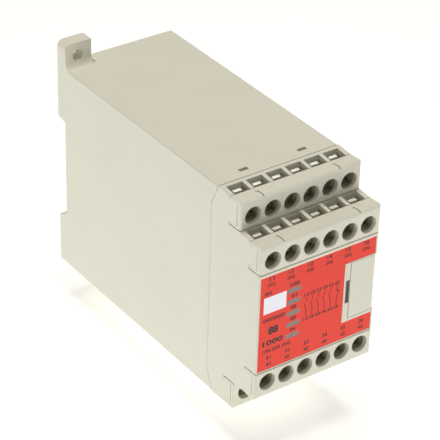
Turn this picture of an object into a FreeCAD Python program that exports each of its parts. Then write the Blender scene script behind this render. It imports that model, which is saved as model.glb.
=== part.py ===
import FreeCAD, Part
import math
import os

# Safety relay for a 35 mm rail or two panel screws.
# Millimetres. X to the right, Y towards the mounting plane, Z up, seen from the front.
# The origin is the centre of the two panel screws, on the mounting plane.

# Housing
WIDTH = 45.0
BODY_HEIGHT = 75.6
DEPTH = 112.5
CASE_WALL = 2.0
SEAM = 0.2                  # open joint line between two mouldings
SEAM_Y = -90.5              # where the front housing meets the case on top
SEAM_FLAP = 3.0             # how far the front housing reaches back on the sides
EDGE_BEVEL = 0.4
SNAP_XS = (-10.6, 11.3)     # openings where the front housing snaps into the case
SNAP_HALF_WIDTH = 1.6
SNAP_FRONT = -87.3
SNAP_BACK = -85.9
SNAP_SINK = 1.4             # how far a snap lug ends below the case's outside

# Terminal tiers: two above the label, two below, the outer ones set back
TIER_HEIGHT = 10.0
TIER_SETBACK = 10.5
LABEL_HEIGHT = 35.6
POLES = 6
PITCH = 7.16
DRIVER_HOLE = 5.9
DRIVER_Z = 4.3              # driver hole axis, from the label side of its tier
COVER_DEPTH = 5.7
COVER_FRONT = 1.65
COVER_TOP = 1.5
COVER_FLANGE = 1.3
COVER_NOSE_ROUND = 1.2
COVER_BEVEL = 0.5
COVER_SLOPE = 0.4           # how much lower a cover's rear ridge is than its front
FOOT_INSET = 0.9            # a cover stands on a foot set back from its visible edges,
FOOT_HEIGHT = 0.35          # which leaves a shadow line of this height
WIRE_WIDTH = 5.8
WIRE_END_HIGH = 10.0        # rear edge of a wire entry, from its tier's face
WIRE_END_LOW = 10.4
HOUSING_SIDE = 1.2
BLOCK_DROP = 2.0            # how far a terminal block hangs below its tier
BLOCK_FLOOR = 0.8
HEAD_ROOM_LOW = 1.4         # the screw head's room, from the label side of its tier
HEAD_ROOM_HIGH = 7.4

# Terminal metal
HEAD_FRONT = 3.3
HEAD_DIAMETER = 5.5
HEAD_THICKNESS = 1.9
SHANK_DIAMETER = 2.9
HEAD_SIDES = 20             # the head and the shank are bars of few faces,
SHANK_SIDES = 8             # without slot or thread
WASHER_THICKNESS = 0.8
WASHER_SIZE = 5.6
PLATE_FRONT = 7.7
PLATE_THICKNESS = 1.3
PLATE_WIDTH = 5.6
TONGUE_WIDTH = 2.8
TAIL_WIDTH = 1.6
TAIL_THICKNESS = 0.8

# Label area
LABEL_WALL = 1.6
FILM = 0.3                  # depth of the film's seat
FILM_SINK = 0.05            # the film's face lies this far behind the label wall's
FILM_LEFT = -22.0
FILM_RIGHT = 21.6
FILM_TOP = 16.8
FILM_BOTTOM = -17.4
WINDOW_X = -9.2
WINDOW_WIDTH = 5.0
WINDOW_HEIGHT = 1.6
WINDOW_PITCH = 4.15
WINDOW_RISE = 0.25          # how far the middle window sits above the label's middle
WINDOWS = 5

# Hinged door over the service socket
BARE_LEFT = 9.95            # the area around the door that the film leaves bare
BARE_TOP = 10.6
BARE_BOTTOM = -11.15
DOOR_LEFT = 12.4
DOOR_TOP = 10.1
DOOR_BOTTOM = -10.0
DOOR_THICKNESS = 1.4
DOOR_GAP = 0.25
DOOR_END_GAP = 0.12
HINGE_X = 21.3
HINGE_Y = -111.55
BARREL_RADIUS = 0.9
PIN_RADIUS = 0.5
PIN_CLEARANCE = 0.05
PIN_LENGTH = 1.2
PRY_SLOT = (10.7, 12.2, -4.2, 4.2)
PRY_DEPTH = 4.5
TUB_FLOOR_Y = -105.2

# Screw tabs
TAB_WIDTH = 9.8
TAB_HEIGHT = 8.7
TAB_THICKNESS = 5.0
TAB_ROUND = 2.2
TAB_FILLET = 2.6
SCREW_X = 17.5
SCREW_Z = 42.0
SCREW_HOLE = 4.5

# Rail seat and sprung latch
RAIL_DEPTH = 4.3
RAIL_TOP = 17.8
RAIL_BOTTOM = -17.4
RAIL_LIP_TOP = 18.6
RAIL_LIP_BOTTOM = -19.6
HOOK_HALF_WIDTH = 13.0
HOOK_DROP = 2.2
HOOK_FRONT = -2.6
HOOK_BACK = -0.5
LATCH_HALF_WIDTH = 8.0
LATCH_TRAVEL = 3.0
LATCH_END = -51.8
LATCH_FRONT = -8.5
LATCH_BACK = -3.5
CHANNEL_GAP = 0.3
SPRING_TOP = -22.0
SPRING_FOOT = -33.0
SPRING_REACH = 2.5
SPRING_STRIP = 0.4
SPRING_FOLDS = 6

# Boards and the parts on them
BOARD = 1.6
TERMINAL_BOARD_Y = -86.0
FRONT_BOARD_Y = -104.0
MAIN_BOARD_X = -15.0
MAIN_BOARD_END = -14.0

HALF_W = WIDTH / 2
HALF_H = BODY_HEIGHT / 2
FRONT = -DEPTH
INNER_W = HALF_W - HOUSING_SIDE
LABEL_TOP = LABEL_HEIGHT / 2
TIERS = [
    # number, face plane, label-side edge, +1 above the label and -1 below it, rear edge of the wire entries
    (1, FRONT + TIER_SETBACK, LABEL_TOP + TIER_HEIGHT, 1, WIRE_END_HIGH),
    (2, FRONT, LABEL_TOP, 1, WIRE_END_LOW),
    (3, FRONT, LABEL_TOP, -1, WIRE_END_LOW),
    (4, FRONT + TIER_SETBACK, LABEL_TOP + TIER_HEIGHT, -1, WIRE_END_HIGH),
]
POLE_XS = [(i - (POLES - 1) / 2) * PITCH for i in range(POLES)]
WINDOW_ZS = [WINDOW_RISE + (i - (WINDOWS - 1) / 2) * WINDOW_PITCH for i in range(WINDOWS)]
UP = FreeCAD.Vector(0, 0, 1)
BACK = FreeCAD.Vector(0, 1, 0)
RIGHT = FreeCAD.Vector(1, 0, 0)


def block(x0, x1, y0, y1, z0, z1):
    """A plain box between two corners."""
    return Part.makeBox(x1 - x0, y1 - y0, z1 - z0, FreeCAD.Vector(x0, y0, z0))


def rod(radius, start, direction, length):
    """A round bar from a start point along a direction."""
    return Part.makeCylinder(radius, length, FreeCAD.Vector(*start), direction)


def side_prism(points, x0, x1):
    """A Y-Z outline pushed across from x0 to x1."""
    corners = [FreeCAD.Vector(x0, y, z) for y, z in points]
    face = Part.Face(Part.makePolygon(corners + corners[:1]))
    return face.extrude(FreeCAD.Vector(x1 - x0, 0, 0))


def joined(shapes):
    """One solid from several that touch or overlap."""
    return shapes[0].multiFuse(shapes[1:]).removeSplitter()


def mirrored(shape):
    """The shape's twin below the middle of the height."""
    return shape.mirror(FreeCAD.Vector(0, 0, 0), UP)


def rounded(shape, radius, test):
    """Round each edge whose centre passes the test."""
    edges = [edge for edge in shape.Edges if test(edge.CenterOfMass)]
    return shape.makeFillet(radius, edges)


def bevelled(shape, size, test):
    """Cut a small flat along each edge whose centre passes the test."""
    edges = [edge for edge in shape.Edges if test(edge.CenterOfMass)]
    return shape.makeChamfer(size, edges)


def near(a, b):
    """Whether two places are the same."""
    return abs(a - b) < 0.01


def in_tier(shape, tier):
    """Move a piece drawn at a tier's own corner to its place in the housing."""
    _, face_y, base_z, side, _ = tier
    placed = shape.copy()
    placed.translate(FreeCAD.Vector(0, face_y, base_z))
    return placed if side > 0 else mirrored(placed)


# ---- Case ----------------------------------------------------------------

def seam_outline(shift):
    """The joint line of case and front housing, seen from the side, closed at the front."""
    flap = SEAM_Y + SEAM_FLAP + shift
    return [
        (-150.0, -HALF_H - 1), (SEAM_Y + shift, -HALF_H - 1), (SEAM_Y + shift, -HALF_H),
        (SEAM_Y + 0.8 + shift, -HALF_H + 2.5), (flap, -HALF_H + 7.0),
        (flap, HALF_H - 7.0), (SEAM_Y + 0.8 + shift, HALF_H - 2.5),
        (SEAM_Y + shift, HALF_H), (SEAM_Y + shift, HALF_H + 1), (-150.0, HALF_H + 1),
    ]


def screw_tab():
    """Upper left fixing tab, with its rounded corner, root fillet and screw hole."""
    left = -HALF_W
    right = left + TAB_WIDTH
    root = HALF_H - 1.0
    tab = block(left, right, -TAB_THICKNESS, 0, root, HALF_H + TAB_HEIGHT)
    tab = rounded(tab, TAB_ROUND, lambda c: near(c.z, HALF_H + TAB_HEIGHT) and near(c.x, left))
    web = block(left, right + TAB_FILLET, -TAB_THICKNESS, 0, root, HALF_H + TAB_FILLET)
    web = web.cut(rod(TAB_FILLET, (right + TAB_FILLET, -20, HALF_H + TAB_FILLET), BACK, 30))
    heel = block(left, right, -TAB_THICKNESS - TAB_FILLET, 0, root, HALF_H + TAB_FILLET)
    heel = heel.cut(rod(TAB_FILLET, (-30, -TAB_THICKNESS - TAB_FILLET, HALF_H + TAB_FILLET), RIGHT, 60))
    tab = joined([tab, web, heel])
    return tab.cut(rod(SCREW_HOLE / 2, (-SCREW_X, -20, SCREW_Z), BACK, 30))


def rail_recess():
    """The space that the rail's edges slide into, open at both sides."""
    floor = -RAIL_DEPTH
    outline = [(floor, RAIL_BOTTOM), (floor, RAIL_TOP), (0, RAIL_LIP_TOP),
               (1, RAIL_LIP_TOP), (1, RAIL_LIP_BOTTOM), (0, RAIL_LIP_BOTTOM)]
    return side_prism(outline, -HALF_W - 1, HALF_W + 1)


def latch_channel():
    """The guide that the latch slides in, open at the bottom and towards the rail."""
    half = LATCH_HALF_WIDTH + CHANNEL_GAP
    front = LATCH_FRONT - CHANNEL_GAP
    guide = block(-half, half, front, LATCH_BACK + CHANNEL_GAP, -HALF_H - 1, RAIL_BOTTOM + 0.2)
    mouth = block(-half, half, front, 1, RAIL_LIP_BOTTOM - LATCH_TRAVEL - CHANNEL_GAP, RAIL_BOTTOM + 0.2)
    return guide.fuse(mouth)


def case_rooms():
    """The hollow inside of the case."""
    half = HALF_W - CASE_WALL
    top = HALF_H - CASE_WALL
    rooms = [
        block(-half, half, -100, -12, -top, top),
        block(-half, half, -12.5, -RAIL_DEPTH - CASE_WALL, -12, top),
        block(-half, half, -12.5, -CASE_WALL, RAIL_LIP_TOP + CASE_WALL, top),
    ]
    for x0, x1 in ((-half, -LATCH_HALF_WIDTH - 2.5), (LATCH_HALF_WIDTH + 2.5, half)):
        rooms.append(block(x0, x1, -12.5, -CASE_WALL, -top, RAIL_LIP_BOTTOM - CASE_WALL))
    return rooms


def snap_windows():
    """Openings in the case's top and bottom walls where the front housing snaps in."""
    return [block(x - SNAP_HALF_WIDTH, x + SNAP_HALF_WIDTH, SNAP_FRONT, SNAP_BACK, -HALF_H - 1, HALF_H + 1)
            for x in SNAP_XS]


def case():
    shell = block(-HALF_W, HALF_W, SEAM_Y - 2, 0, -HALF_H, HALF_H)
    shell = bevelled(shell, EDGE_BEVEL, lambda c: near(abs(c.x), HALF_W) and near(abs(c.z), HALF_H))
    shell = shell.cut(case_rooms() + snap_windows() + [rail_recess(), latch_channel()])
    shell = shell.cut(side_prism(seam_outline(SEAM), -HALF_W - 1, HALF_W + 1))
    hook = block(-HOOK_HALF_WIDTH, HOOK_HALF_WIDTH, HOOK_FRONT, HOOK_BACK, RAIL_TOP - HOOK_DROP, RAIL_LIP_TOP + 1)
    spring_post = block(-2.6, 2.6, LATCH_FRONT - CHANNEL_GAP, LATCH_BACK + CHANNEL_GAP,
                        SPRING_FOOT - 1.6, SPRING_FOOT)
    board_rail = block(MAIN_BOARD_X - 1.5, MAIN_BOARD_X + BOARD + 1.5, MAIN_BOARD_END - 3, -5, -11, 33)
    board_rail = board_rail.cut(block(MAIN_BOARD_X, MAIN_BOARD_X + BOARD, -40, MAIN_BOARD_END, -40, 40))
    board_rail = board_rail.common(Part.makeCompound(case_rooms()[1:2]).fuse(case_rooms()[0]))
    upper_tab = screw_tab()
    lower_tab = upper_tab.copy().rotate(FreeCAD.Vector(0, 0, 0), BACK, 180)
    return joined([shell, hook, spring_post, board_rail, upper_tab, lower_tab])


# ---- Front housing -------------------------------------------------------

def half_outline():
    """The front housing's outline above the middle of the height, seen from the side."""
    points = []
    for _, face_y, base_z, _, end in TIERS[:2]:
        nose_front = face_y + COVER_FRONT + SEAM
        nose_top = base_z + TIER_HEIGHT - COVER_TOP
        behind = face_y + COVER_DEPTH
        points += [(face_y + end, base_z + TIER_HEIGHT), (behind, base_z + TIER_HEIGHT - COVER_SLOPE),
                   (behind, nose_top), (nose_front, nose_top),
                   (nose_front, base_z + COVER_FLANGE), (behind, base_z + COVER_FLANGE), (behind, base_z)]
    return points + [(FRONT, LABEL_TOP)]


def housing_block():
    """The stepped outside of the front housing, with its flaps beside the case."""
    upper = half_outline()
    lower = [(y, -z) for y, z in reversed(upper)]
    outline = [(SEAM_Y, HALF_H)] + upper + lower + [(SEAM_Y, -HALF_H)]
    steps = side_prism(outline, -HALF_W, HALF_W)
    flaps = side_prism(seam_outline(0), -HALF_W, HALF_W)
    flaps = flaps.common(block(-HALF_W, HALF_W, SEAM_Y - 1.5, 0, -HALF_H, HALF_H))
    whole = joined([steps, flaps])
    return bevelled(whole, EDGE_BEVEL, lambda c: near(abs(c.x), HALF_W) and near(c.y, FRONT))


def housing_rooms():
    """Terminal rooms above and below, the room behind the label, and the open back."""
    high = FRONT + TIER_SETBACK
    back_wall = high + WIRE_END_HIGH
    roof = HALF_H - COVER_TOP
    low_roof = LABEL_TOP + TIER_HEIGHT - COVER_TOP
    upper = [
        block(-INNER_W, INNER_W, high - 1, high + COVER_DEPTH, LABEL_TOP + TIER_HEIGHT + COVER_FLANGE, roof),
        block(-INNER_W, INNER_W, high + COVER_DEPTH, back_wall, low_roof - 2, roof),
        block(-INNER_W, INNER_W, FRONT - 1, FRONT + COVER_DEPTH, LABEL_TOP + COVER_FLANGE, low_roof),
        block(-INNER_W, INNER_W, FRONT + COVER_DEPTH, FRONT + WIRE_END_LOW, LABEL_TOP - 3, low_roof),
        block(-INNER_W, INNER_W, high + 1.2, back_wall, 0, low_roof),
        block(-INNER_W, INNER_W, FRONT + LABEL_WALL, high + 1.3, 0, LABEL_TOP - BLOCK_DROP),
    ]
    rear = HALF_W - CASE_WALL - 1.3
    through = block(-rear, rear, back_wall - 0.1, -60, -LABEL_TOP - 8, LABEL_TOP + 8)
    behind = block(-rear, rear, SEAM_Y, -60, -HALF_H + 3.3, HALF_H - 3.3)
    return upper + [mirrored(room) for room in upper] + [through, behind]


def wire_entries(tier):
    """The six openings that the wires enter through."""
    _, _, _, _, end = tier
    top = TIER_HEIGHT
    cuts = [block(x - WIRE_WIDTH / 2, x + WIRE_WIDTH / 2, COVER_DEPTH - 0.01, end, top - 3, top + 1)
            for x in POLE_XS]
    return in_tier(Part.makeCompound(cuts), tier)


def housing_skirt():
    """The ring that plugs into the case, with the lugs that snap into its openings."""
    half = HALF_W - CASE_WALL - 0.1
    top = HALF_H - CASE_WALL - 0.1
    ring = block(-half, half, SEAM_Y - 1, -84, -top, top)
    ring = ring.cut(block(-half + 1.2, half - 1.2, SEAM_Y - 2, -80, -top + 1.2, top - 1.2))
    lug_half = SNAP_HALF_WIDTH - 0.15
    reach = HALF_H - SNAP_SINK
    lugs = [block(x - lug_half, x + lug_half, SNAP_FRONT + 0.2, SNAP_BACK - 0.2, -reach, reach) for x in SNAP_XS]
    lugs = [lug.cut(block(-half, half, -100, -60, -top + 0.6, top - 0.6)) for lug in lugs]
    return joined([ring] + [solid for lug in lugs for solid in lug.Solids])


def tub_walls():
    """The outside of the recess behind the door, with the two bosses for the hinge pins."""
    floor = TUB_FLOOR_Y
    outer = block(DOOR_LEFT - 0.8, INNER_W + 0.1, FRONT + 1, floor + 1.2, DOOR_BOTTOM - 0.8, DOOR_TOP + 0.8)
    bosses = [block(HINGE_X - 1.6, INNER_W + 0.1, FRONT + 1, FRONT + 3.2, z0, z0 + 2.6)
              for z0 in (DOOR_TOP, DOOR_BOTTOM - 2.6)]
    return [outer] + bosses


def door_cuts():
    """Room for the door, its barrel and pins, and the recess behind it."""
    gap = DOOR_GAP
    low, high = DOOR_BOTTOM - DOOR_END_GAP, DOOR_TOP + DOOR_END_GAP
    seat = block(DOOR_LEFT - gap, HALF_W + 1, FRONT - 1, FRONT + DOOR_THICKNESS + gap, low, high)
    barrel_room = block(HINGE_X - 1.3, HALF_W + 1, FRONT - 1, HINGE_Y + BARREL_RADIUS + gap, low, high)
    recess = block(DOOR_LEFT + 0.6, INNER_W - 1.4, FRONT, TUB_FLOOR_Y, DOOR_BOTTOM + 0.6, DOOR_TOP - 0.6)
    socket_hole = block(14.0, 18.4, FRONT, -100, -6.0, 4.4)
    pins = rod(PIN_RADIUS + PIN_CLEARANCE, (HINGE_X, HINGE_Y, DOOR_BOTTOM - PIN_LENGTH - 0.2), UP,
               DOOR_TOP - DOOR_BOTTOM + 2 * PIN_LENGTH + 0.4)
    pry = block(PRY_SLOT[0], PRY_SLOT[1], FRONT - 1, FRONT + PRY_DEPTH, PRY_SLOT[2], PRY_SLOT[3])
    return [seat, barrel_room, recess, socket_hole, pins, pry]


def window_cuts():
    """Openings for the five status windows."""
    half_w = WINDOW_WIDTH / 2
    half_h = WINDOW_HEIGHT / 2
    return [block(WINDOW_X - half_w, WINDOW_X + half_w, FRONT - 1, FRONT + LABEL_WALL + 1, z - half_h, z + half_h)
            for z in WINDOW_ZS]


def film_outline(front):
    """The label's outline from a front plane to the seat's floor, cut out around the door."""
    sheet = block(FILM_LEFT, FILM_RIGHT, front, FRONT + FILM, FILM_BOTTOM, FILM_TOP)
    return sheet.cut(block(BARE_LEFT, HALF_W, FRONT - 2, FRONT + 1, BARE_BOTTOM, BARE_TOP))


def housing_shell():
    """The front housing before its openings are cut."""
    return joined([housing_block().cut(housing_rooms()), housing_skirt()])


def front_housing():
    shell = housing_shell().cut([wire_entries(tier) for tier in TIERS])
    return shell.cut(door_cuts() + window_cuts() + [film_outline(FRONT - 1)])


def service_tub():
    """The walled recess behind the door, set against the back of the label wall."""
    return joined(tub_walls()).cut([housing_shell()] + door_cuts())


# ---- Terminals -----------------------------------------------------------

def terminal_cover(tier):
    """A channel that snaps over its tier, with six driver holes and two snap tongues."""
    rear = COVER_DEPTH - SEAM
    bar = side_prism([(0, 0), (0, TIER_HEIGHT), (rear, TIER_HEIGHT - COVER_SLOPE), (rear, 0)], -HALF_W, HALF_W)
    nose = rounded(bar, COVER_NOSE_ROUND, lambda c: near(c.y, 0) and near(c.z, TIER_HEIGHT))
    corners = bevelled(bar, COVER_BEVEL, lambda c: near(abs(c.x), HALF_W) and near(c.y, 0))
    wide = HALF_W + 1
    channel = block(-wide, wide, COVER_FRONT, 20, COVER_FLANGE, TIER_HEIGHT - COVER_TOP)
    foot = block(-HALF_W + FOOT_INSET, HALF_W - FOOT_INSET, FOOT_INSET, 20, -2, FOOT_HEIGHT + 1)
    shadow_line = block(-wide, wide, -1, 19, -1, FOOT_HEIGHT).cut(foot)
    cuts = [channel, shadow_line] + [rod(DRIVER_HOLE / 2, (x, -1, DRIVER_Z), BACK, 10) for x in POLE_XS]
    return in_tier(nose.common(corners).cut(cuts + tongue_slots()), tier)


def tongue_slots():
    """The two hooked slots that free a cover's snap tongues."""
    floor = TIER_HEIGHT - 1.0
    slots = []
    for x in (POLE_XS[0] + PITCH / 2 + 0.3, POLE_XS[-1] - PITCH / 2 + 0.3):
        slots.append(block(x - 0.2, x + 0.2, 0.3, 3.6, floor, TIER_HEIGHT + 1))
        slots.append(block(x - 0.9, x + 0.2, 3.25, 3.6, floor, TIER_HEIGHT + 1))
    return slots


def terminal_block(tier):
    """A comb of six rooms, one for each terminal, open to the driver hole and to the wire entry."""
    _, _, _, _, end = tier
    roof = TIER_HEIGHT - COVER_TOP
    front = COVER_FRONT + SEAM
    bar = joined([
        block(-INNER_W, INNER_W, front, COVER_DEPTH, COVER_FLANGE, roof),
        block(-INNER_W, INNER_W, COVER_DEPTH, end, -BLOCK_DROP, roof),
    ])
    cuts = []
    for x in POLE_XS:
        half = WIRE_WIDTH / 2
        cuts.append(block(x - half, x + half, COVER_DEPTH, end + 1, BLOCK_FLOOR - BLOCK_DROP, roof + 1))
        cuts.append(block(x - half, x + half, 0, COVER_DEPTH + 1, HEAD_ROOM_LOW, HEAD_ROOM_HIGH))
        cuts.append(block(x - PLATE_WIDTH / 2, x + PLATE_WIDTH / 2, PLATE_FRONT, PLATE_FRONT + PLATE_THICKNESS,
                          -BLOCK_DROP - 1, 0))
    return in_tier(bar.cut(cuts), tier)


def screw_bar(x, radius, sides, front, back):
    """A bar of even sides on a screw's axis."""
    angles = [math.tau * (i + 0.5) / sides for i in range(sides)]
    ring = [FreeCAD.Vector(x + radius * math.cos(a), front, DRIVER_Z + radius * math.sin(a)) for a in angles]
    return Part.Face(Part.makePolygon(ring + ring[:1])).extrude(FreeCAD.Vector(0, back - front, 0))


def terminal_screw(x):
    """A cheese-head screw with its captive square washer, standing half open before the plate."""
    washer_front = HEAD_FRONT + HEAD_THICKNESS
    washer_back = washer_front + WASHER_THICKNESS
    half = WASHER_SIZE / 2
    head = screw_bar(x, HEAD_DIAMETER / 2, HEAD_SIDES, HEAD_FRONT, washer_front)
    washer = block(x - half, x + half, washer_front, washer_back, DRIVER_Z - half, DRIVER_Z + half)
    shank = screw_bar(x, SHANK_DIAMETER / 2, SHANK_SIDES, washer_back, PLATE_FRONT)
    return joined([head, washer, shank])


def terminal_plate(x, tier):
    """The plate that a wire is clamped against, with a tongue above and a tail to the board."""
    _, face_y, _, _, _ = tier
    back = PLATE_FRONT + PLATE_THICKNESS
    body = block(x - PLATE_WIDTH / 2, x + PLATE_WIDTH / 2, PLATE_FRONT, back, -BLOCK_DROP, TIER_HEIGHT - 3.2)
    tongue = block(x - TONGUE_WIDTH / 2, x + TONGUE_WIDTH / 2, PLATE_FRONT, back, 5, TIER_HEIGHT - 1.3)
    tail = block(x - TAIL_WIDTH / 2, x + TAIL_WIDTH / 2, PLATE_FRONT, TERMINAL_BOARD_Y - face_y,
                 -BLOCK_DROP - TAIL_THICKNESS, -BLOCK_DROP)
    return joined([body, tongue, tail])


def terminal_group(make, tier):
    """The same small part at each of a tier's six poles."""
    return in_tier(Part.makeCompound([make(x) for x in POLE_XS]), tier)


# ---- Door, windows and film ----------------------------------------------

def service_door():
    """A flat flap with a barrel and two pins along its right edge."""
    plate = block(DOOR_LEFT, HINGE_X, FRONT, FRONT + DOOR_THICKNESS, DOOR_BOTTOM, DOOR_TOP)
    height = DOOR_TOP - DOOR_BOTTOM
    barrel = rod(BARREL_RADIUS, (HINGE_X, HINGE_Y, DOOR_BOTTOM), UP, height)
    pins = rod(PIN_RADIUS, (HINGE_X, HINGE_Y, DOOR_BOTTOM - PIN_LENGTH), UP, height + 2 * PIN_LENGTH)
    return joined([plate, barrel, pins])


def status_windows():
    """Five clear bars that carry light from the board to the film."""
    bars = [block(WINDOW_X - WINDOW_WIDTH / 2, WINDOW_X + WINDOW_WIDTH / 2, FRONT + FILM_SINK, -106.2,
                  z - WINDOW_HEIGHT / 2, z + WINDOW_HEIGHT / 2) for z in WINDOW_ZS]
    return Part.makeCompound(bars)


def status_leds():
    """Five surface-mounted lamps behind the clear bars."""
    lamps = []
    for z in WINDOW_ZS:
        base = block(WINDOW_X - 1.6, WINDOW_X + 1.6, FRONT_BOARD_Y - 1.2, FRONT_BOARD_Y, z - 0.8, z + 0.8)
        lamps.append(base)
    return Part.makeCompound(lamps)


def label_film():
    return film_outline(FRONT + FILM_SINK).cut(window_cuts())


# ---- Rail latch ----------------------------------------------------------

def rail_latch():
    """The sliding latch: a tooth for the rail, a window for its spring, a loop for a screwdriver."""
    half = LATCH_HALF_WIDTH
    body = block(-half, half, LATCH_FRONT, LATCH_BACK, -HALF_H - 0.5, RAIL_BOTTOM - 0.3)
    neck = block(-half, half, LATCH_FRONT, HOOK_BACK, RAIL_LIP_BOTTOM + 0.2, RAIL_BOTTOM - 0.3)
    tooth = side_prism([(HOOK_FRONT, RAIL_BOTTOM - 1), (HOOK_FRONT, RAIL_BOTTOM + 2.2),
                        (HOOK_BACK, RAIL_BOTTOM + 0.4), (HOOK_BACK, RAIL_BOTTOM - 1)], -half, half)
    tail = block(-half + 1.5, half - 1.5, LATCH_FRONT, LATCH_BACK - 1.5, LATCH_END, -HALF_H)
    tail = rounded(tail, 2.0, lambda c: near(c.z, LATCH_END) and near(abs(c.x), half - 1.5))
    loop = block(-3.2, 3.2, LATCH_FRONT - 1, 0, LATCH_END + 2.2, LATCH_END + 5.0)
    spring_room = block(-3.2, 3.2, LATCH_FRONT - 1, LATCH_BACK + 1, SPRING_FOOT - 2.0, SPRING_TOP)
    return joined([body, neck, tooth, tail]).cut([loop, spring_room])


def latch_spring():
    """A folded strip spring that stands on the case's post and pushes the latch up."""
    half = SPRING_STRIP / 2
    rise = (SPRING_TOP - SPRING_FOOT - SPRING_STRIP) / SPRING_FOLDS
    legs = []
    for fold in range(SPRING_FOLDS):
        side = 1 if fold % 2 == 0 else -1
        z0 = SPRING_FOOT + half + fold * rise
        z1 = z0 + rise
        corners = [FreeCAD.Vector(x, LATCH_FRONT + 1, z) for x, z in (
            (-side * SPRING_REACH, z0 - half), (side * SPRING_REACH, z1 - half),
            (side * SPRING_REACH, z1 + half), (-side * SPRING_REACH, z0 + half))]
        leg = Part.Face(Part.makePolygon(corners + corners[:1]))
        legs.append(leg.extrude(FreeCAD.Vector(0, LATCH_BACK - LATCH_FRONT - 2, 0)))
    return joined(legs)


# ---- Boards and what they carry ------------------------------------------

def terminal_board():
    return block(-19.0, 19.0, TERMINAL_BOARD_Y, TERMINAL_BOARD_Y + BOARD, -34.3, 34.3)


def front_board():
    return block(-20.5, 20.5, FRONT_BOARD_Y, FRONT_BOARD_Y + BOARD, -14.0, 14.0)


def main_board():
    return block(MAIN_BOARD_X, MAIN_BOARD_X + BOARD, TERMINAL_BOARD_Y + BOARD, MAIN_BOARD_END, -32.0, 32.0)


def safety_relay_unit(z0, z1):
    """A force-guided relay in its moulded cover, standing on the main board."""
    base_x = MAIN_BOARD_X + BOARD
    cover = block(base_x + 0.6, base_x + 25.0, -81.0, -41.0, z0, z1)
    cover = bevelled(cover, 1.0, lambda c: near(c.x, base_x + 25.0))
    feet = [block(base_x, base_x + 0.6, y, y + 1.2, z, z + 1.2)
            for y in (-79.0, -71.0, -63.0, -55.0, -47.0) for z in (z0 + 2.0, z1 - 3.2)]
    return joined([cover] + feet)


def transformer_core():
    """The stacked iron core around the winding."""
    x0 = MAIN_BOARD_X + BOARD + 1.0
    frame = block(x0, x0 + 24.0, -37.0, -21.0, 3.0, 31.0)
    windows = [block(x0 + 4.0, x0 + 20.0, -40.0, -15.0, z, z + 6.0) for z in (7.0, 21.0)]
    return frame.cut(windows)


def transformer_winding():
    """The wound bobbin on the core's middle leg, with its pin base on the board."""
    x0 = MAIN_BOARD_X + BOARD
    coil = block(x0 + 5.0, x0 + 21.0, -39.0, -19.0, 7.0, 27.0)
    coil = bevelled(coil, 1.5, lambda c: near(abs(c.y + 29.0), 10.0) and near(abs(c.z - 17.0), 10.0))
    coil = coil.cut(block(x0, x0 + 30.0, -37.0, -21.0, 13.0, 21.0))
    feet = [block(x0, x0 + 5.0, y, y + 1.8, 9.0, 25.0) for y in (-38.9, -20.9)]
    return joined([coil] + feet)


def smoothing_capacitors():
    """Two electrolytic cans standing on the main board."""
    return Part.makeCompound([rod(5.0, (MAIN_BOARD_X + BOARD, -29.0, z), RIGHT, 16.0) for z in (-10.0, -23.0)])


def board_link():
    """A pin strip that joins the front board to the terminal board."""
    start = FRONT_BOARD_Y + BOARD
    strip = block(-11.0, 11.0, start, start + 8.5, -1.3, 1.3)
    pins = [block(x - 0.3, x + 0.3, start + 8.0, TERMINAL_BOARD_Y, -0.3, 0.3)
            for x in (2.54 * i - 8.89 for i in range(8))]
    return joined([strip] + pins)


def service_socket():
    """The box header behind the door, open to the front, with two rows of pins."""
    body = block(14.1, 18.3, -107.4, FRONT_BOARD_Y, -5.9, 4.3)
    body = body.cut(block(14.7, 17.7, -110, -105.6, -5.3, 3.7))
    pins = [block(x - 0.25, x + 0.25, -107.0, -105.5, z - 0.25, z + 0.25)
            for x in (15.6, 16.9) for z in (2.5 * i - 4.55 for i in range(4))]
    return joined([body] + pins)


def pieces():
    """Every node's name with its shape."""
    nodes = {
        "case": case(),
        "front_housing": front_housing(),
        "service_tub": service_tub(),
        "label_film": label_film(),
        "service_door": service_door(),
        "status_windows": status_windows(),
        "status_leds": status_leds(),
        "rail_latch": rail_latch(),
        "latch_spring": latch_spring(),
        "terminal_board": terminal_board(),
        "front_board": front_board(),
        "main_board": main_board(),
        "relay_upper": safety_relay_unit(2.0, 31.0),
        "relay_lower": safety_relay_unit(-31.0, -2.0),
        "transformer_core": transformer_core(),
        "transformer_winding": transformer_winding(),
        "smoothing_capacitors": smoothing_capacitors(),
        "board_link": board_link(),
        "service_socket": service_socket(),
    }
    for tier in TIERS:
        number = tier[0]
        nodes[f"terminal_cover_{number}"] = terminal_cover(tier)
        nodes[f"terminal_block_{number}"] = terminal_block(tier)
        nodes[f"terminal_screws_{number}"] = terminal_group(terminal_screw, tier)
        nodes[f"terminal_plates_{number}"] = terminal_group(lambda x: terminal_plate(x, tier), tier)
    return nodes


def main():
    os.makedirs("parts", exist_ok=True)
    for name, shape in pieces().items():
        shape.exportStep(f"parts/{name}.step")
        print(name, "solids", len(shape.Solids), "valid", shape.isValid(), "volume", round(shape.Volume, 1))


main()
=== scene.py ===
import math

import bmesh
import bpy
from mathutils import Matrix, Vector


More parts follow.
